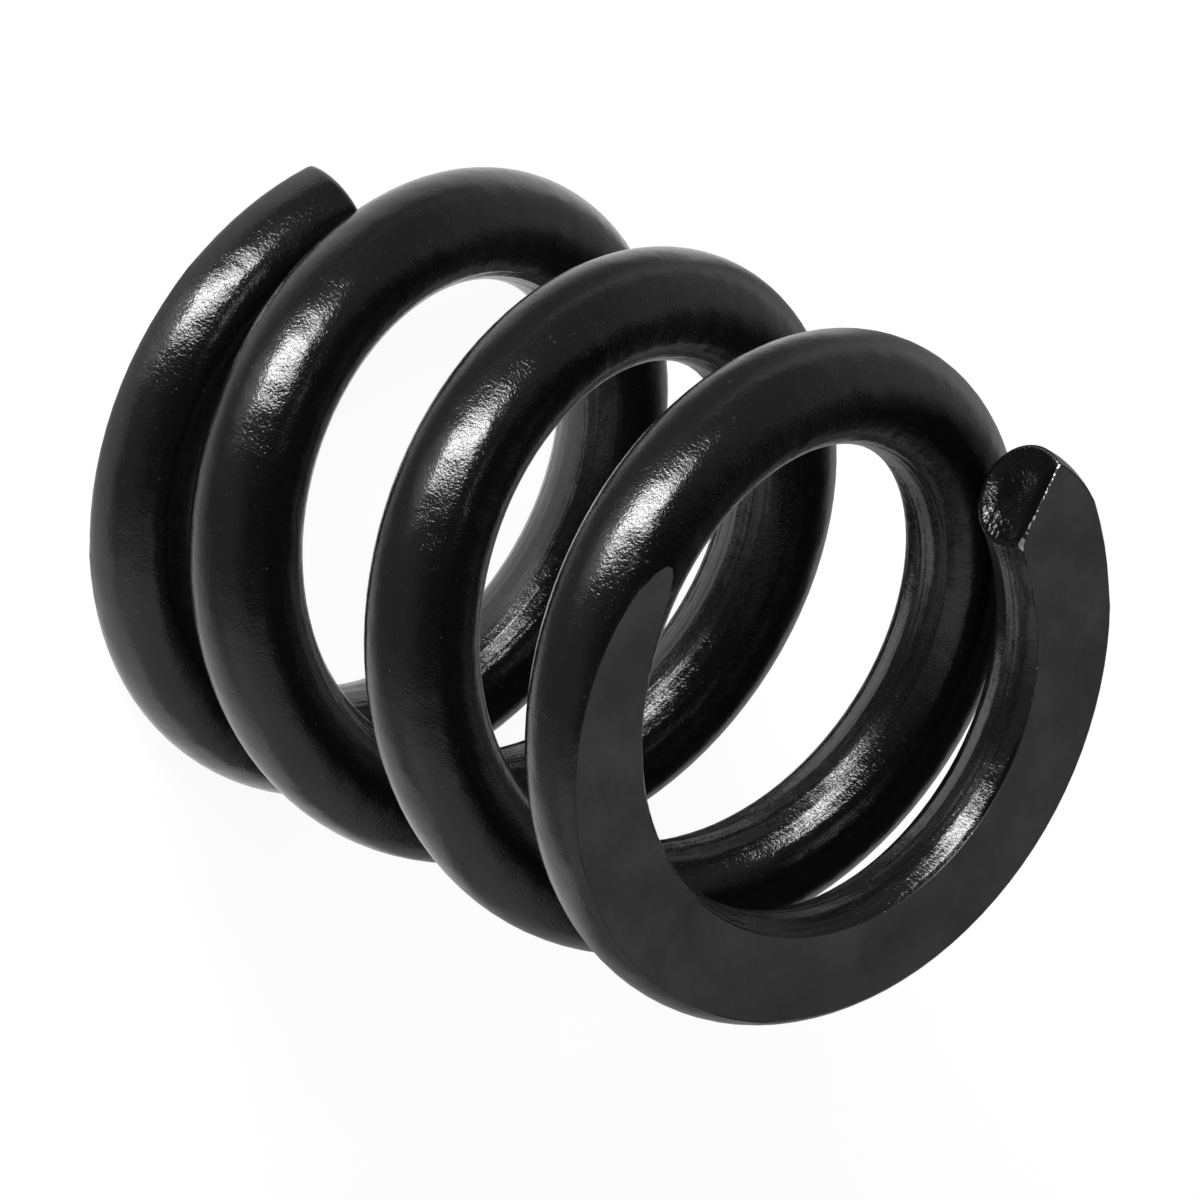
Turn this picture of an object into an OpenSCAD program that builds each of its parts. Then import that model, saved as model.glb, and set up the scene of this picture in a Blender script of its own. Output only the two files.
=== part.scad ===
// Compression spring of a slip clutch: one round wire, coiled right-handed over the clutch shaft,
// closed at both ends and ground flat there. It stands on its lower ground face with its axis on Z.

/* [Wire] */
// Diameter of the round spring wire
wire_d = 9.5; // [8:0.1:10.5]

/* [Coil] */
// Inside diameter of the coil, which clears the clutch shaft
inside_d = 38.8; // [34:0.1:46]
// Free length between the two ground faces, on the coil's axis
free_length = 63.7; // [55:0.5:72]
// Turns of wire from one tip to the other
turns = 3.82; // [3.5:0.02:5]
// Part of each end turn that lies nearly flat before the wire climbs, in turns
flat_turn = 0.32; // [0.2:0.01:0.5]
// Part in which the wire then takes up the pitch of the open coils, in turns
ramp_turn = 0.77; // [0.5:0.01:0.9]
// Height of the gap between a tip and the turn that it closes on
tip_gap = 0.3; // [0.2:0.05:1]

/* [Upper end] */
// How far the ground face lies above the centre of the wire's tip, taken on the coil's axis
top_face_rise = 1.4; // [0.5:0.1:3]
// Angle by which the face is ground out of square to the coil
top_tilt = 2.5; // [0:0.1:3]
// Direction in which the face rises, from the X axis
top_tilt_turn = 246; // [0:1:360]
// How far the tip springs out past the coil
top_spread = 0.1; // [0:0.05:1.5]
// Slant of the cut across the tip, which leaves its outer side longer
top_slant = 25; // [0:1:30]
// Lean of the cut, which leaves its lower side longer
top_lean = 8; // [0:1:15]
// How far the crop rolls the outer side of the tip inwards
top_roll = 1.4; // [0.3:0.1:2]
// Length of wire that the rolled side takes
top_roll_run = 4.8; // [0.5:0.1:6]

/* [Lower end] */
// How far the ground face lies below the centre of the wire's tip
bottom_face_drop = 0.3; // [0:0.1:3]
// How far the tip springs out past the coil
bottom_spread = 0.3; // [0:0.05:1.5]
// Slant of the cut across the tip, which leaves its inner side longer
bottom_slant = 12; // [0:1:30]
// Depth of the rounded edge round the cut
bottom_round = 0.6; // [0.3:0.1:2]
// Length of wire that the rounded edge takes
bottom_round_run = 0.8; // [0.5:0.1:6]

/* [Smoothness] */
// Rings of points in each turn
rings_per_turn = 48; // [24:4:48]
// Points round the wire
wire_points = 24; // [12:4:24]

/* [Hidden] */

wire_r = wire_d / 2;
mean_r = (inside_d + wire_d) / 2;
outer_r = mean_r + wire_r + max(top_spread, bottom_spread);

// An end turn climbs one wire and the gap, so its tip closes on the next turn without touching it.
end_rise = wire_d + tip_gap;
// Climb of the wire's centre from the lower tip to the upper one
climb = free_length - bottom_face_drop - top_face_rise;
// Share of the open pitch in an end turn's climb, and the turns that both ends take from the open coils
ramp_share = ramp_turn * smooth_area((1 - flat_turn) / ramp_turn);
closed_turns = (2 * flat_turn + ramp_turn) / (1 - ramp_share);
// Climb per turn in the open coils and in the nearly flat part of the end turns
open_pitch = (climb - closed_turns * end_rise) / (turns - closed_turns);
flat_pitch = (end_rise - open_pitch * ramp_share) / (1 - ramp_share);

// Wire over which the slant of a cut fades out, in turns
cut_fade = along(wire_d);
// Degrees between the rings of a rounded edge, and rings in a rolled side
round_step = 30;
roll_rings = 5;
// How far the grinding cuts reach past the coil
grind_over = 2;

function clamp01(x) = min(1, max(0, x));
function smooth(x) = let (c = clamp01(x)) c * c * (3 - 2 * c);
function smooth_area(x) = let (c = clamp01(x)) pow(c, 3) - pow(c, 4) / 2;
// Length of wire in turns
function along(length) = length / (2 * PI * mean_r);

// Climb of the wire's centre in the first u turns from a tip
function end_climb(u) =
    let (ramp_end = flat_turn + ramp_turn)
    flat_pitch * min(u, ramp_end)
    + (open_pitch - flat_pitch) * ramp_turn * smooth_area((u - flat_turn) / ramp_turn)
    + open_pitch * max(0, u - ramp_end);
function centre_z(t) =
    bottom_face_drop + (t < turns / 2 ? end_climb(t) : climb - end_climb(turns - t));
function pitch(t) =
    let (u = min(t, turns - t))
    flat_pitch + (open_pitch - flat_pitch) * smooth((u - flat_turn) / ramp_turn);
function coil_r(t) =
    mean_r + bottom_spread * smooth(1 - t) + top_spread * smooth(1 - turns + t);

// Point on the wire at t turns and at angle a round its section, which stands square to the wire; the
// section's centre lies the given way inwards of the coil's
function wire_point(t, a, r, inwards = 0) =
    let (turn = 360 * t,
         rise = atan(pitch(t) / (2 * PI * coil_r(t))),
         out = coil_r(t) - inwards + r * cos(a),
         back = r * sin(a) * sin(rise))
    [out * cos(turn) + back * sin(turn),
     out * sin(turn) - back * cos(turn),
     centre_z(t) + r * sin(a) * cos(rise)];

// Share of the lower and of the upper cut in a ring, fading out away from the tips
function lower_cut(t) = 1 - smooth(t / cut_fade);
function upper_cut(t) = 1 - smooth((turns - t) / cut_fade);
// How far along the wire a ring lies for each step outwards and for each step down, as the cuts ask
function slant(t) = tan(bottom_slant) * lower_cut(t) + tan(top_slant) * upper_cut(t);
function lean(t) = tan(top_lean) * upper_cut(t);
// Ring of points round the wire, each moved along it to lie in the slanted and leaning ring
function ring(t, r, inwards = 0) =
    [for (i = [0:wire_points - 1])
        let (a = 360 * i / wire_points,
             shift = slant(t) * (r * cos(a) - inwards) - lean(t) * r * sin(a))
        wire_point(t + along(shift), a, r, inwards)];

function lower_tip() =
    [for (a = [90:-round_step:round_step])
        ring(along(bottom_round_run * (1 - sin(a))), wire_r - bottom_round * (1 - cos(a)))];
function full_wire() =
    let (first = along(bottom_round_run),
         last = turns - along(top_roll_run),
         steps = ceil(rings_per_turn * (last - first)))
    [for (i = [0:steps]) ring(first + (last - first) * i / steps, wire_r)];
// The rolled side curves in, while the inner side of the tip stays on the wire
function upper_tip() =
    [for (i = [1:roll_rings])
        let (s = i / roll_rings, half_roll = top_roll * s * s / 2)
        ring(turns - along(top_roll_run * (1 - s)), wire_r - half_roll, half_roll)];

module coiled_wire() {
    rings = concat(lower_tip(), full_wire(), upper_tip());
    n = wire_points;
    last = len(rings) - 1;
    sides = [for (k = [0:last - 1], i = [0:n - 1])
        let (j = (i + 1) % n, low = k * n, high = low + n)
        each [[low + i, high + j, high + i], [low + i, low + j, high + j]]];
    lower_cap = [for (i = [n - 1:-1:0]) i];
    upper_cap = [for (i = [0:n - 1]) last * n + i];
    polyhedron(points = [for (r = rings) each r], faces = concat(sides, [lower_cap, upper_cap]));
}

// Disc of metal that the grinding wheel takes off above a face
module grinding_cut() {
    cylinder(r = outer_r + grind_over, h = wire_d);
}

module spring() {
    color("#1d1d1e")
    difference() {
        coiled_wire();
        mirror([0, 0, 1]) grinding_cut();
        translate([0, 0, free_length]) rotate([0, -top_tilt, top_tilt_turn]) grinding_cut();
    }
}

spring();
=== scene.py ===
# Slip clutch spring: one heavy compression spring, coiled from round steel wire, closed and ground flat
# at both ends and enamelled black. Sizes are in millimetres and angles in degrees unless a line says so.
import math

import bmesh
import bpy
from mathutils import Matrix, Vector


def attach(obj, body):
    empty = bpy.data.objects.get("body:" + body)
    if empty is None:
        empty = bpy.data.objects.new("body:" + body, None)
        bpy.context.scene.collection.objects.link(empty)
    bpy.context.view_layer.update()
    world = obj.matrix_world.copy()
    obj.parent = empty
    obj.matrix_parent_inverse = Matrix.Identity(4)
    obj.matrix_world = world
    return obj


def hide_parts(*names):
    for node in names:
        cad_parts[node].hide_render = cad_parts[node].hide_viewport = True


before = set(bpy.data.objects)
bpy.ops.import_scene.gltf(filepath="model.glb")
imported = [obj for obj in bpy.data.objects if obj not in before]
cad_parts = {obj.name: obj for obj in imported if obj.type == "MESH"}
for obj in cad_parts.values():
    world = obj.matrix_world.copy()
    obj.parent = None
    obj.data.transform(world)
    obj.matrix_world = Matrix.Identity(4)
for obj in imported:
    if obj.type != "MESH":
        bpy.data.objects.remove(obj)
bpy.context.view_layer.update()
scene = bpy.context.scene
scene.view_settings.view_transform = "Standard"


# Camera: a long lens on a stand, which looks down on the spring from beside its upper ground end.
# It is rolled on its side, so that the coil's axis runs down to the right across the picture.
MM = 0.001
camera_aim = Vector((-1.55, 0.39, 32.59)) * MM
camera_distance = 930.7 * MM
camera_lens = 333.96
camera_turn = 48.59
camera_off_axis = 45.34
camera_roll = 115.93
camera_far_clip = 50000 * MM

camera_facing = (
    Matrix.Rotation(math.radians(camera_turn + 90), 3, "Z")
    @ Matrix.Rotation(math.radians(camera_off_axis), 3, "X")
    @ Matrix.Rotation(math.radians(camera_roll), 3, "Z")
)
camera_side, camera_up, camera_back = (camera_facing.col[i].copy() for i in range(3))
bpy.ops.object.camera_add(
    location=camera_aim + camera_back * camera_distance, rotation=camera_facing.to_euler()
)
camera = bpy.context.object
camera.name = "camera"
camera.data.lens = camera_lens
camera.data.clip_end = camera_far_clip
scene.camera = camera


# Spring: one length of round spring steel wire, coiled right-handed on an arbor with its end turns
# closed, cropped at a slant, stress relieved, ground flat across both ends and baked in black enamel.
wire_d = 9.5
inside_d = 38.8
free_length = 63.7
turns = 3.82
flat_turn = 0.32
ramp_turn = 0.77
tip_gap = 0.3
top_face_rise = 1.4
top_tilt = 2.5
top_tilt_turn = 246
top_spread = 0.1
top_slant = 25
top_lean = 8
top_roll = 1.4
top_roll_run = 4.8
top_round = 0.25
bottom_face_drop = 0.3
bottom_spread = 0.3
bottom_slant = 12
bottom_round = 0.7
rings_per_turn = 96
roll_rings = 14
roll_ease = 1.3
round_rings = 4
round_step = 90 / round_rings
wire_points = 48

wire_r = wire_d / 2
mean_r = (inside_d + wire_d) / 2
one_turn = 2 * math.pi * mean_r
ramp_end = flat_turn + ramp_turn
end_rise = wire_d + tip_gap
climb = free_length - bottom_face_drop - top_face_rise


def eased(x):
    """A share from 0 to 1 that starts and stops gently."""
    x = min(1, max(0, x))
    return x * x * (3 - 2 * x)


def eased_sum(x):
    """What the eased share adds up to on the way to x."""
    x = min(1, max(0, x))
    return x**3 - x**4 / 2


# An end turn climbs one wire and the gap, and the open coils share the rest of the free length.
ramp_share = ramp_turn * eased_sum((1 - flat_turn) / ramp_turn)
closed_turns = (2 * flat_turn + ramp_turn) / (1 - ramp_share)
open_pitch = (climb - closed_turns * end_rise) / (turns - closed_turns)
flat_pitch = (end_rise - open_pitch * ramp_share) / (1 - ramp_share)


def end_climb(u):
    """Climb of the wire's centre in the first u turns from a tip."""
    ramp = (open_pitch - flat_pitch) * ramp_turn * eased_sum((u - flat_turn) / ramp_turn)
    return flat_pitch * min(u, ramp_end) + ramp + open_pitch * max(0, u - ramp_end)


def centre_height(t):
    """Height of the wire's centre after t turns from the lower tip."""
    return bottom_face_drop + (end_climb(t) if t < turns / 2 else climb - end_climb(turns - t))


def coil_radius(t):
    """Radius of the wire's centre line, which springs out a little at the tips."""
    return mean_r + bottom_spread * eased(1 - t) + top_spread * eased(1 - turns + t)


def wire_lean(t):
    """Angle at which the wire climbs, in radians."""
    ramp = eased((min(t, turns - t) - flat_turn) / ramp_turn)
    return math.atan((flat_pitch + (open_pitch - flat_pitch) * ramp) / (2 * math.pi * coil_radius(t)))


def tip_share(t):
    """Share of the lower and of the upper tip's cut in a ring, which fades out one wire's width from each."""
    return 1 - eased(t * one_turn / wire_d), 1 - eased((turns - t) * one_turn / wire_d)


def ring_slant(t):
    """Slant of a ring across the wire, in radians, which leads over to the slant of the cropped tips."""
    lower, upper = tip_share(t)
    return math.radians(bottom_slant * lower + top_slant * upper)


def ring_lean(t):
    """Lean of a ring out of the upright, in radians: the wire's own and that of the upper tip's cut."""
    return wire_lean(t) + math.radians(top_lean) * tip_share(t)[1]


# Rings of points along the wire, each with its radius and how far its middle lies inwards of the coil's:
# the rounded rim of the lower tip, the full wire, the part whose outer side the crop rolled in, and the
# rounded rim of the upper tip.
rings = []
roll_start = turns - top_roll_run / one_turn
for i in range(round_rings):
    a = math.radians(90 - i * round_step)
    rings.append((bottom_round * (1 - math.sin(a)) / one_turn, wire_r - bottom_round * (1 - math.cos(a)), 0))
first = bottom_round / one_turn
steps = math.ceil(rings_per_turn * (roll_start - first))
for i in range(steps + 1):
    rings.append((first + (roll_start - first) * i / steps, wire_r, 0))
for i in range(1, roll_rings + 1):
    half_roll = top_roll / 2 * (i / roll_rings) ** roll_ease
    t = roll_start + (turns - top_round / one_turn - roll_start) * i / roll_rings
    rings.append((t, wire_r - half_roll, half_roll))
for i in range(1, round_rings + 1):
    a = math.radians(i * round_step)
    r = wire_r - half_roll - top_round * (1 - math.cos(a))
    rings.append((turns - top_round * (1 - math.sin(a)) / one_turn, r, half_roll))

# The first ring is a disc, and each of the others is drawn on from it and carried round the coil.
bpy.ops.object.select_all(action="DESELECT")
bpy.ops.mesh.primitive_circle_add(
    vertices=wire_points,
    radius=rings[0][1] * MM,
    fill_type="NGON",
    rotation=(math.pi / 2 + ring_lean(0), 0, ring_slant(0)),
)
spring = bpy.context.object
spring.name = "coiled_wire"
spring.location = (coil_radius(0) * MM, 0, centre_height(0) * MM)
spring.scale.x = 1 / math.cos(ring_slant(0))
bpy.ops.object.transform_apply(location=True, rotation=True, scale=True)
bpy.ops.object.mode_set(mode="EDIT")
bpy.ops.mesh.select_all(action="SELECT")
for (t0, r0, in0), (t1, r1, in1) in zip(rings, rings[1:]):
    turn = 2 * math.pi * t1
    slant0, slant1 = ring_slant(t0), ring_slant(t1)
    centre = Vector((math.cos(turn), math.sin(turn), 0)) * coil_radius(t1) * MM
    centre.z = centre_height(t1) * MM
    scene.cursor.location = centre
    scene.cursor.rotation_euler = (0, 0, turn)
    outward = (coil_radius(t1) - coil_radius(t0)) * MM
    upward = (centre_height(t1) - centre_height(t0)) * MM
    bpy.ops.mesh.extrude_region_move()
    bpy.ops.transform.rotate(
        value=-2 * math.pi * (t1 - t0), orient_axis="Z", center_override=(0, 0, 0)
    )
    bpy.ops.transform.translate(value=(outward, 0, upward), orient_type="CURSOR")
    bpy.ops.transform.rotate(
        value=ring_lean(t0) - ring_lean(t1),
        orient_axis="X",
        orient_type="CURSOR",
        center_override=centre,
    )
    if slant0 != slant1:
        bpy.ops.transform.rotate(
            value=slant0 - slant1, orient_axis="Z", orient_type="CURSOR", center_override=centre
        )
    if slant0 != slant1 or r0 != r1:
        stretch = math.cos(slant0) / math.cos(slant1)
        inward = Vector((math.cos(turn + slant1), math.sin(turn + slant1), 0)) * (MM / -math.cos(slant1))
        scene.cursor.rotation_euler = (0, 0, turn + slant1)
        bpy.ops.transform.resize(value=(stretch, 1, 1), orient_type="CURSOR", center_override=centre)
        bpy.ops.transform.translate(value=inward * (in1 - in0))
        bpy.ops.transform.resize(value=(r1 / r0,) * 3, center_override=centre + inward * in1)

# Grinding takes both ends flat; the upper face is ground a little out of square.
tilt = Matrix.Rotation(math.radians(top_tilt_turn), 3, "Z") @ Matrix.Rotation(
    -math.radians(top_tilt), 3, "Y"
)
ground_planes = (
    (Vector((0, 0, 0)), Vector((0, 0, -1))),
    (Vector((0, 0, free_length * MM)), tilt @ Vector((0, 0, 1))),
)
plane_snap = 0.001
weld_within = 0.003
for place, facing in ground_planes:
    bpy.ops.mesh.select_all(action="SELECT")
    bpy.ops.mesh.bisect(
        plane_co=place, plane_no=facing, use_fill=True, clear_outer=True, threshold=plane_snap * MM
    )
bpy.ops.mesh.select_all(action="SELECT")
bpy.ops.mesh.remove_doubles(threshold=weld_within * MM)
bpy.ops.mesh.normals_make_consistent(inside=False)

# Least share of a face's normal along a ground plane's, and along that of the upper tip's cut
same_facing = 0.9999
near_facing = 0.9
# Turns that a slanted cut reaches past its tip's centre
tip_reach = 0.014


def lies_in(face, place, facing):
    """Tells whether a face of the spring lies in the plane through a place, facing a way."""
    off_plane = (face.calc_center_median() - place).dot(facing)
    return face.normal.dot(facing) > same_facing and abs(off_plane) < plane_snap * MM


def place_on_wire(point):
    """Turns from the lower tip, and millimetres out and up from the wire's centre, of a point on it."""
    x, y, z = point / MM
    share = math.atan2(y, x) / (2 * math.pi)
    passes = [share + n for n in range(math.ceil(turns) + 1)]
    near = [n for n in passes if -tip_reach < n < turns + tip_reach]
    out = math.hypot(x, y)
    t = min(near, key=lambda n: math.hypot(out - coil_radius(n), z - centre_height(n)))
    return t, out - coil_radius(t), z - centre_height(t)


# The sheared end of the upper tip, of which grinding leaves a half moon, is a little hollow. Each step
# draws that face in to a share of its size and sinks it.
hollow_steps = ((0.92, 0.06), (0.65, 0.26), (0.8, 0.06), (0.5, 0.03))
tip_turn = Matrix.Rotation(2 * math.pi * turns, 3, "Z")
outwards, along, upwards = (tip_turn.col[i].copy() for i in range(3))
end_facing = along - outwards * math.tan(ring_slant(turns)) + upwards * math.tan(ring_lean(turns))
end_facing.normalize()
bpy.ops.mesh.select_mode(type="FACE")
bpy.ops.mesh.select_all(action="DESELECT")
wire_mesh = bmesh.from_edit_mesh(spring.data)
for face in wire_mesh.faces:
    if len(face.verts) > wire_points / 4 and face.normal.dot(end_facing) > near_facing:
        face.select_set(True)
        end_facing = face.normal.copy()
        hollow_middle = face.calc_center_bounds()
bmesh.update_edit_mesh(spring.data)
for size, depth in hollow_steps:
    bpy.ops.mesh.extrude_region_move()
    bpy.ops.transform.resize(value=(size,) * 3, center_override=hollow_middle)
    bpy.ops.transform.translate(value=end_facing * (-depth * MM))

# The sharp rim of each ground face is broken to a narrow strip, which runs out where the rim feathers
# and is steeper across the cropped tip.
edge_break = 0.08
edge_drop = 0.1
tip_edge_drop = 0.12
edge_feather = 20
edge_full = 60
least_strip = 0.02
ground_sectors = 12
bpy.ops.mesh.select_mode(type="FACE")
bpy.ops.mesh.select_all(action="DESELECT")
wire_mesh = bmesh.from_edit_mesh(spring.data)
for face in wire_mesh.faces:
    face.select_set(any(lies_in(face, *plane) for plane in ground_planes))
    face.material_index = 1 if face.select else 0
bmesh.update_edit_mesh(spring.data)
bpy.ops.mesh.remove_doubles(threshold=edge_break * MM)
for i in range(ground_sectors):
    sector_side = Matrix.Rotation(math.pi * (i + 0.5) / ground_sectors, 3, "Z") @ Vector((0, 1, 0))
    bpy.ops.mesh.bisect(plane_co=(0, 0, 0), plane_no=sector_side, threshold=plane_snap * MM)
    wire_mesh = bmesh.from_edit_mesh(spring.data)
    for face in wire_mesh.faces:
        face.select_set(face.material_index == 1)
    bmesh.update_edit_mesh(spring.data)
bpy.ops.mesh.inset(thickness=edge_break * MM, use_even_offset=False)
wire_mesh = bmesh.from_edit_mesh(spring.data)
ground_faces = [face for face in wire_mesh.faces if face.select]
for face in ground_faces:
    for edge in face.edges:
        for strip in edge.link_faces:
            if not strip.select:
                strip.material_index = 2
                edge.smooth = False
rim_drops = {}
for face in ground_faces:
    for inner in face.verts:
        spokes = [edge for edge in inner.link_edges if not any(f.select for f in edge.link_faces)]
        if spokes:
            corner = spokes[0].other_vert(inner)
            rim = [
                edge
                for edge in corner.link_edges
                if {f.material_index for f in edge.link_faces} == {0, 2}
            ]
            bend = max(math.degrees(edge.calc_face_angle(0)) for edge in rim)
            sharp = min(1, max(0, (bend - edge_feather) / (edge_full - edge_feather)))
            at_tip = (turns - place_on_wire(corner.co)[0]) * one_turn < top_roll_run
            drop = tip_edge_drop if at_tip else edge_drop
            rim_drops[corner] = (inner, sharp, face.normal * (-sharp * drop * MM))
for corner, (inner, sharp, drop) in rim_drops.items():
    inner.co = corner.co.lerp(inner.co, max(least_strip, sharp))
for corner, (inner, sharp, drop) in rim_drops.items():
    corner.co += drop

# The shear left a small burr at the inner end of the cut, where the strip widens to a pointed flake.
burr_reach = 0.9
burr_length = 0.45
burr_width = 0.35
burr_out = -0.89 * wire_r
burr_along = math.tan(math.radians(top_slant)) * burr_out
burr_place = (outwards * (coil_radius(turns) + burr_out) + along * burr_along) * MM
burr_place.z = free_length * MM - tilt.col[2].dot(burr_place) / tilt.col[2].z
for corner in wire_mesh.verts:
    near = 1 - (corner.co - burr_place).length / (burr_reach * MM)
    if near > 0 and corner in rim_drops:
        corner.co += (along - outwards - upwards) * (burr_length * near * MM / math.sqrt(3))
    elif near > 0 and any(face.select for face in corner.link_faces):
        corner.co += (outwards - along) * (burr_width * near * MM / math.sqrt(2))
bmesh.update_edit_mesh(spring.data)
bpy.ops.object.mode_set(mode="OBJECT")

# Each point keeps the place that it had in the straight wire, across it, up it and along it, for the
# marks that were drawn into the wire before it was coiled.
straight_wire = spring.data.attributes.new("straight_wire", "FLOAT_VECTOR", "POINT")
for i, vertex in enumerate(spring.data.vertices):
    t, out, up = place_on_wire(vertex.co)
    straight_wire.data[i].vector = (out, up, t * one_turn)


def linear(colour):
    """An sRGB hex colour as the linear values that a shader takes."""
    levels = [int(colour[i : i + 2], 16) / 255 for i in (1, 3, 5)]
    return [v / 12.92 if v <= 0.04045 else ((v + 0.055) / 1.055) ** 2.4 for v in levels] + [1]


def add_node(tree, kind, sockets=None, **settings):
    """Adds a node with its settings; a socket takes a value, or a link where it is given an output."""
    made = tree.nodes.new(kind)
    for name, value in settings.items():
        setattr(made, name, value)
    for name, value in (sockets or {}).items():
        if isinstance(value, bpy.types.NodeSocket):
            tree.links.new(value, made.inputs[name])
        else:
            made.inputs[name].default_value = value
    return made


# Baked black enamel, dipped: a semi-gloss skin that shrank as it dried, so that it is crinkled across
# the wire, and thin enough to show the lines that the drawing die and the arbor left along it. Here and
# there a speck of dust is baked in.
crinkle_size = 0.22
crinkle_depth = 0.032
crinkle_stretch = (0.75, 0.75, 1.0)
wave_size = 2.6
wave_depth = 0.12
line_size = 0.8
line_depth = 0.13
line_stretch = (1, 1, 0.012)
lines_from = -0.2 * wire_r
lines_full = -0.8 * wire_r
dust_size = 0.4
dust_from = 0.73
dust_full = 0.82
enamel_black = "#070708"
dust_grey = "#2e2e2f"
enamel = bpy.data.materials.new("baked_black_enamel")
enamel.use_nodes = True
tree = enamel.node_tree
shader = tree.nodes["Principled BSDF"]
shader.inputs["IOR"].default_value = 1.6
shader.inputs["Roughness"].default_value = 0.17
on_wire = add_node(tree, "ShaderNodeAttribute", attribute_name="straight_wire").outputs["Vector"]
crinkle_place = add_node(
    tree, "ShaderNodeVectorMath", {0: on_wire, 1: crinkle_stretch}, operation="MULTIPLY"
).outputs["Vector"]
crinkle = add_node(
    tree,
    "ShaderNodeTexNoise",
    {"Vector": crinkle_place, "Scale": 1 / crinkle_size, "Detail": 2.0, "Distortion": 0.7},
).outputs["Fac"]
wave = add_node(
    tree, "ShaderNodeTexNoise", {"Vector": on_wire, "Scale": 1 / wave_size, "Detail": 1.0}
).outputs["Fac"]
line_place = add_node(
    tree, "ShaderNodeVectorMath", {0: on_wire, 1: line_stretch}, operation="MULTIPLY"
).outputs["Vector"]
lines = add_node(
    tree, "ShaderNodeTexNoise", {"Vector": line_place, "Scale": 1 / line_size, "Detail": 1.0}
).outputs["Fac"]
from_centre = add_node(tree, "ShaderNodeSeparateXYZ", {0: on_wire}).outputs["X"]
inner_side = add_node(
    tree,
    "ShaderNodeMapRange",
    {"Value": from_centre, "From Min": lines_from, "From Max": lines_full, "To Max": 1.0},
).outputs["Result"]
lines_inside = add_node(
    tree, "ShaderNodeMath", {0: lines, 1: inner_side}, operation="MULTIPLY"
).outputs["Value"]
wave_bump = add_node(
    tree, "ShaderNodeBump", {"Height": wave, "Strength": 1.0, "Distance": wave_depth * MM}
).outputs["Normal"]
line_bump = add_node(
    tree,
    "ShaderNodeBump",
    {"Height": lines_inside, "Strength": 1.0, "Distance": line_depth * MM, "Normal": wave_bump},
).outputs["Normal"]
crinkle_bump = add_node(
    tree,
    "ShaderNodeBump",
    {"Height": crinkle, "Strength": 1.0, "Distance": crinkle_depth * MM, "Normal": line_bump},
).outputs["Normal"]
tree.links.new(crinkle_bump, shader.inputs["Normal"])
dust_noise = add_node(
    tree, "ShaderNodeTexNoise", {"Vector": on_wire, "Scale": 1 / dust_size, "Detail": 1.0}
).outputs["Fac"]
dust = add_node(
    tree, "ShaderNodeMapRange", {"Value": dust_noise, "From Min": dust_from, "From Max": dust_full}
).outputs["Result"]
shade = add_node(tree, "ShaderNodeMix", {"Factor": dust}, data_type="RGBA")
shade.inputs["A"].default_value = linear(enamel_black)
shade.inputs["B"].default_value = linear(dust_grey)
tree.links.new(shade.outputs["Result"], shader.inputs["Base Color"])
spring.data.materials.append(enamel)

# Enamel on a ground face: it lies flat and thin over the wheel's fine scratches, so it is duller than on the
# wire, with faint clouds. Its colour is a shade greyer than the wire's: a painted sheen, the flat face's
# reflection of the room painted in.
cloud_size = 7
# The grey of both cloud colours is painted sheen; only the clouds between them are mottling in the enamel.
painted_sheen_cloud_dark = "#121213"
painted_sheen_cloud_pale = "#515152"
ground_enamel = bpy.data.materials.new("enamel_on_ground_face")
ground_enamel.use_nodes = True
tree = ground_enamel.node_tree
shader = tree.nodes["Principled BSDF"]
shader.inputs["IOR"].default_value = 1.5
shader.inputs["Roughness"].default_value = 0.5
place = add_node(tree, "ShaderNodeTexCoord").outputs["Object"]
clouds = add_node(
    tree,
    "ShaderNodeTexNoise",
    {"Vector": place, "Scale": 1 / (cloud_size * MM), "Detail": 7.0, "Roughness": 0.65},
).outputs["Fac"]
shade = add_node(tree, "ShaderNodeMix", {"Factor": clouds}, data_type="RGBA")
shade.inputs["A"].default_value = linear(painted_sheen_cloud_dark)
shade.inputs["B"].default_value = linear(painted_sheen_cloud_pale)
tree.links.new(shade.outputs["Result"], shader.inputs["Base Color"])
spring.data.materials.append(ground_enamel)

# Enamel on a broken edge: paint draws back from a sharp edge, so bright steel shows there in specks. They
# lie closest along the crop, show now and then on the inner side, and the burr is bare. A speck shows
# where the noise passes the level that holds there.
speck_size = 0.22
level_painted = 0.9
level_crop = 0.56
level_inside = 0.72
level_bare = 0.0
crop_from = 1.0
crop_full = 0.5
inside_from = 0.0
inside_full = -2.0
burr_bare = 0.6
burr_painted = 1.0
bright_steel = "#c9c8c4"
edge_enamel = bpy.data.materials.new("enamel_on_broken_edge")
edge_enamel.use_nodes = True
tree = edge_enamel.node_tree
shader = tree.nodes["Principled BSDF"]
shader.inputs["Roughness"].default_value = 0.4
on_wire = add_node(tree, "ShaderNodeAttribute", attribute_name="straight_wire").outputs["Vector"]
specks = add_node(
    tree, "ShaderNodeTexNoise", {"Vector": on_wire, "Scale": 1 / speck_size, "Detail": 1.0}
).outputs["Fac"]
crop_way = (-math.tan(math.radians(top_slant)), math.tan(math.radians(top_lean)), 1.0)
before_crop = add_node(
    tree, "ShaderNodeVectorMath", {0: on_wire, 1: crop_way}, operation="DOT_PRODUCT"
).outputs["Value"]
bare_at_crop = add_node(
    tree,
    "ShaderNodeMapRange",
    {
        "Value": before_crop,
        "From Min": turns * one_turn - crop_from,
        "From Max": turns * one_turn - crop_full,
        "To Min": level_painted,
        "To Max": level_crop,
    },
).outputs["Result"]
from_centre = add_node(tree, "ShaderNodeSeparateXYZ", {0: on_wire}).outputs["X"]
bare_inside = add_node(
    tree,
    "ShaderNodeMapRange",
    {
        "Value": from_centre,
        "From Min": inside_full,
        "From Max": inside_from,
        "To Min": level_inside,
        "To Max": level_painted,
    },
).outputs["Result"]
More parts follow.
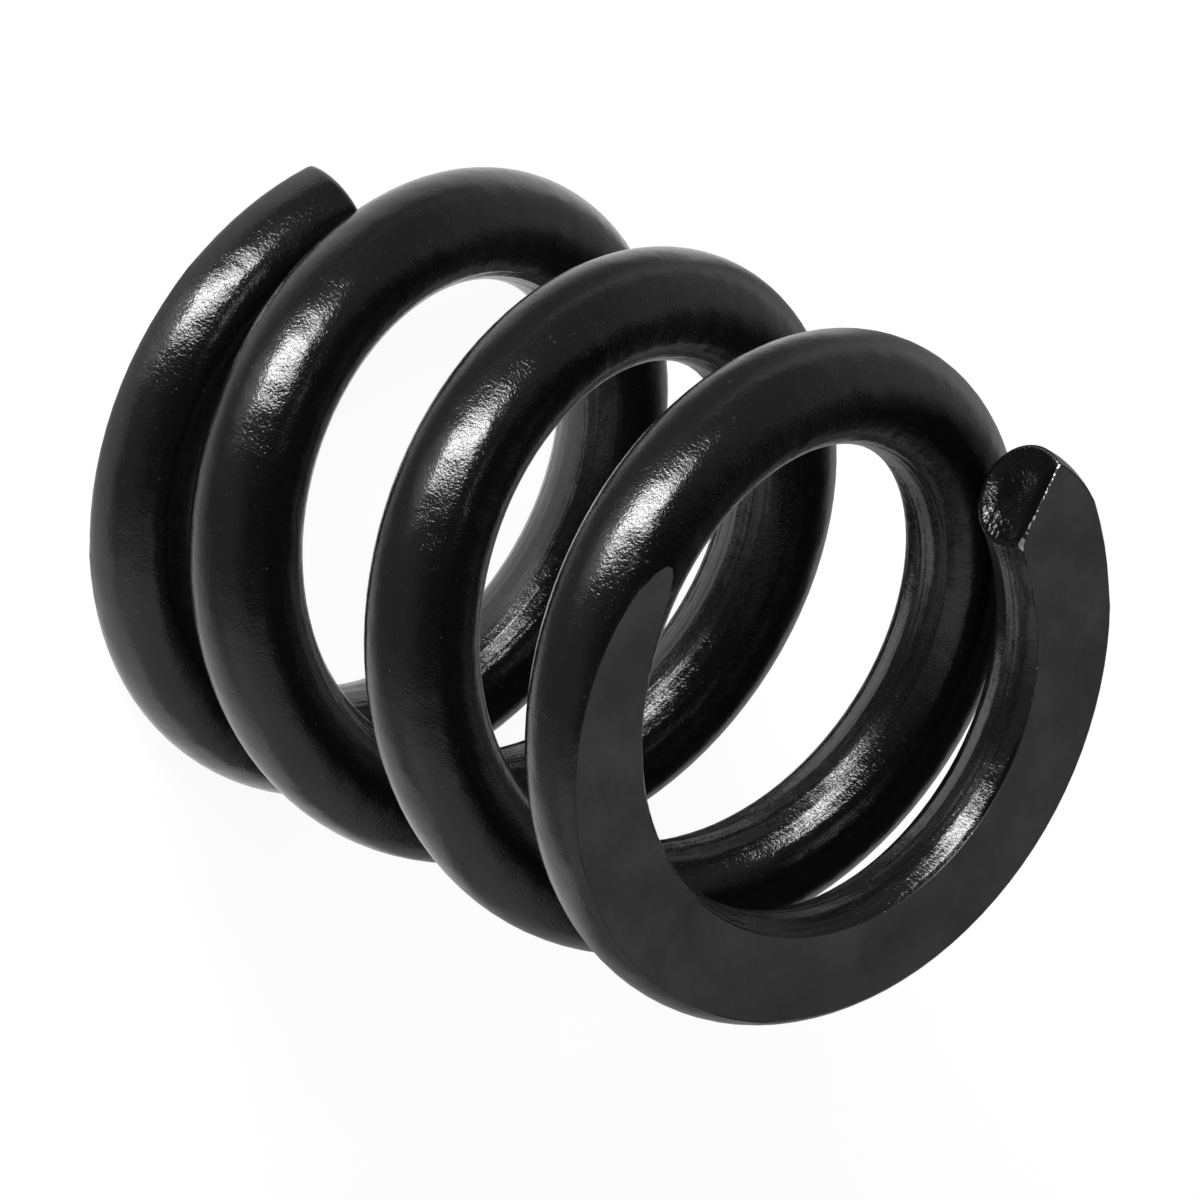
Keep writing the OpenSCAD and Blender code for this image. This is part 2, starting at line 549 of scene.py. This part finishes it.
bare_along_rim = add_node(
    tree, "ShaderNodeMath", {0: bare_at_crop, 1: bare_inside}, operation="MINIMUM"
).outputs["Value"]
place = add_node(tree, "ShaderNodeTexCoord").outputs["Object"]
from_burr = add_node(
    tree, "ShaderNodeVectorMath", {0: place, 1: burr_place}, operation="DISTANCE"
).outputs["Value"]
bare_at_burr = add_node(
    tree,
    "ShaderNodeMapRange",
    {
        "Value": from_burr,
        "From Min": burr_bare * MM,
        "From Max": burr_painted * MM,
        "To Min": level_bare,
        "To Max": level_painted,
    },
).outputs["Result"]
bare_from = add_node(
    tree, "ShaderNodeMath", {0: bare_along_rim, 1: bare_at_burr}, operation="MINIMUM"
).outputs["Value"]
bare = add_node(
    tree, "ShaderNodeMath", {0: specks, 1: bare_from}, operation="GREATER_THAN"
).outputs["Value"]
shade = add_node(tree, "ShaderNodeMix", {"Factor": bare}, data_type="RGBA")
shade.inputs["A"].default_value = linear(enamel_black)
shade.inputs["B"].default_value = linear(bright_steel)
tree.links.new(shade.outputs["Result"], shader.inputs["Base Color"])
tree.links.new(bare, shader.inputs["Metallic"])
spring.data.materials.append(edge_enamel)

smooth_below = 40
bpy.ops.object.shade_smooth_by_angle(angle=math.radians(smooth_below), keep_sharp_edges=True)
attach(spring, "root")
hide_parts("spring")


# Floor: a plain white table top. The camera sees it white, with the spring's shadow on it. In the paint's
# reflections it glows with a painted pool of light that lies slantwise under the spring, and past the pool a
# painted dim top, which is lighter on the side away from the lamp and far off on one side of the spring.
floor_size = 4000
floor_clear = 0.02
floor_glow = 0.85
white_level = 1.1
dim_level = 0.1
pool_across = (1.0, 1.0, 0.0)
pool_full = 25
pool_end = 65
away_level = 0.4
away_from = 20
away_full = -50
far_level = 0.55
far_from = -60
far_full = -220
bpy.ops.object.select_all(action="DESELECT")
bpy.ops.mesh.primitive_plane_add(size=floor_size * MM, location=(0, 0, -floor_clear * MM))
floor = bpy.context.object
floor.name = "floor"
white_top = bpy.data.materials.new("white_table_top")
white_top.use_nodes = True
tree = white_top.node_tree
shader = tree.nodes["Principled BSDF"]
shader.inputs["Base Color"].default_value = linear("#f2f2f2")
shader.inputs["Roughness"].default_value = 1.0
shader.inputs["Specular IOR Level"].default_value = 0.0
path = add_node(tree, "ShaderNodeLightPath").outputs
seen_or_mirrored = add_node(
    tree, "ShaderNodeMath", {0: path["Is Camera Ray"], 1: path["Is Glossy Ray"]}, operation="MAXIMUM"
).outputs["Value"]
seen = add_node(
    tree, "ShaderNodeMath", {0: seen_or_mirrored, 1: path["Is Transmission Ray"]}, operation="MAXIMUM"
).outputs["Value"]
share = add_node(
    tree, "ShaderNodeMath", {0: seen, 1: floor_glow}, operation="MULTIPLY"
).outputs["Value"]
floor_place = add_node(tree, "ShaderNodeTexCoord").outputs["Object"]
floor_sides = add_node(tree, "ShaderNodeSeparateXYZ", {0: floor_place}).outputs
across_pool = add_node(
    tree, "ShaderNodeVectorMath", {0: floor_place, 1: pool_across}, operation="DOT_PRODUCT"
).outputs["Value"]
from_line = add_node(tree, "ShaderNodeMath", {0: across_pool}, operation="ABSOLUTE").outputs["Value"]
off_pool = add_node(
    tree, "ShaderNodeMath", {0: from_line, 1: floor_sides["X"]}, operation="MAXIMUM"
).outputs["Value"]
away_top = add_node(
    tree,
    "ShaderNodeMapRange",
    {
        "Value": floor_sides["X"],
        "From Min": away_full * MM,
        "From Max": away_from * MM,
        "To Min": away_level,
        "To Max": dim_level,
    },
).outputs["Result"]
far_top = add_node(
    tree,
    "ShaderNodeMapRange",
    {
        "Value": floor_sides["Y"],
        "From Min": far_full * MM,
        "From Max": far_from * MM,
        "To Min": far_level,
        "To Max": dim_level,
    },
).outputs["Result"]
past_pool = add_node(
    tree, "ShaderNodeMath", {0: away_top, 1: far_top}, operation="MAXIMUM"
).outputs["Value"]
# What the paint's reflections see: the painted pool of light, and the painted dim top past it.
in_paint = add_node(
    tree,
    "ShaderNodeMapRange",
    {
        "Value": off_pool,
        "From Min": pool_full * MM,
        "From Max": pool_end * MM,
        "To Min": white_level,
        "To Max": past_pool,
    },
    interpolation_type="SMOOTHSTEP",
).outputs["Result"]
floor_level = add_node(
    tree, "ShaderNodeMix", {"Factor": path["Is Camera Ray"], "A": in_paint, "B": white_level}
).outputs["Result"]
glow = add_node(tree, "ShaderNodeEmission", {"Strength": floor_level}).outputs["Emission"]
mixed = add_node(
    tree, "ShaderNodeMixShader", {0: share, 1: shader.outputs["BSDF"], 2: glow}
).outputs["Shader"]
tree.links.new(mixed, tree.nodes["Material Output"].inputs["Surface"])
floor.data.materials.append(white_top)


# Light: one strip of soft light, which stands leaning beside the camera and draws the long highlight down
# each coil. Only the spring shades it, so its foot may reach below the table top. The room round it is dim,
# with a few pale sides that the paint shows as soft bands.
spring_middle = Vector((0, 0, free_length / 2)) * MM
strip_distance = 800 * MM
strip_length = 1200 * MM
strip_width = 180 * MM
strip_radiance = 24
strip_towards = (camera_side * -0.275 + camera_up * 0.58 + camera_back * 0.767).normalized()
strip_along = (camera_side * 0.87 - camera_up * 0.07 + camera_back * 0.41).normalized()
strip_along = (strip_along - strip_towards * strip_along.dot(strip_towards)).normalized()
bpy.ops.object.light_add(type="AREA", location=spring_middle + strip_towards * strip_distance)
strip = bpy.context.object
strip.name = "strip_light"
strip.rotation_euler = (
    Matrix((strip_along, strip_towards.cross(strip_along), strip_towards)).transposed().to_euler()
)
strip.data.shape = "RECTANGLE"
strip.data.size = strip_length
strip.data.size_y = strip_width
strip.data.energy = strip_radiance * math.pi * strip_length * strip_width
in_its_way = bpy.data.collections.new("in_the_way_of_the_strip")
in_its_way.objects.link(spring)
strip.light_linking.blocker_collection = in_its_way

# A pale side has its brightness and one or two slopes. A slope is a direction, and how far a ray has to
# point that way where the side starts and where it is full.
dim_room = 0.02
pale_sides = (
    (0.5, ((-1.0, 0.0, 0.0), 0.0, 0.45), ((0.0, 1.0, 0.0), -0.2, 0.35)),
    (0.16, ((0.8, -1.0, 0.0), 0.45, 0.7)),
    (0.18, ((0.0, 1.0, 0.0), 0.5, 1.0)),
    (0.15, ((0.0, -1.0, 0.0), 0.6, 0.95)),
)
room = bpy.data.worlds.new("room")
room.use_nodes = True
scene.world = room
tree = room.node_tree
towards = add_node(tree, "ShaderNodeTexCoord").outputs["Generated"]
level = dim_room
for brightness, *slopes in pale_sides:
    for axis, start, full in slopes:
        way = add_node(
            tree, "ShaderNodeVectorMath", {0: towards, 1: axis}, operation="DOT_PRODUCT"
        ).outputs["Value"]
        brightness = add_node(
            tree,
            "ShaderNodeMapRange",
            {"Value": way, "From Min": start, "From Max": full, "To Max": brightness},
            interpolation_type="SMOOTHSTEP",
        ).outputs["Result"]
    level = add_node(
        tree, "ShaderNodeMath", {0: brightness, 1: level}, operation="ADD"
    ).outputs["Value"]
tree.links.new(level, tree.nodes["Background"].inputs["Strength"])
tree.nodes["Background"].inputs["Color"].default_value = (1, 1, 1, 1)
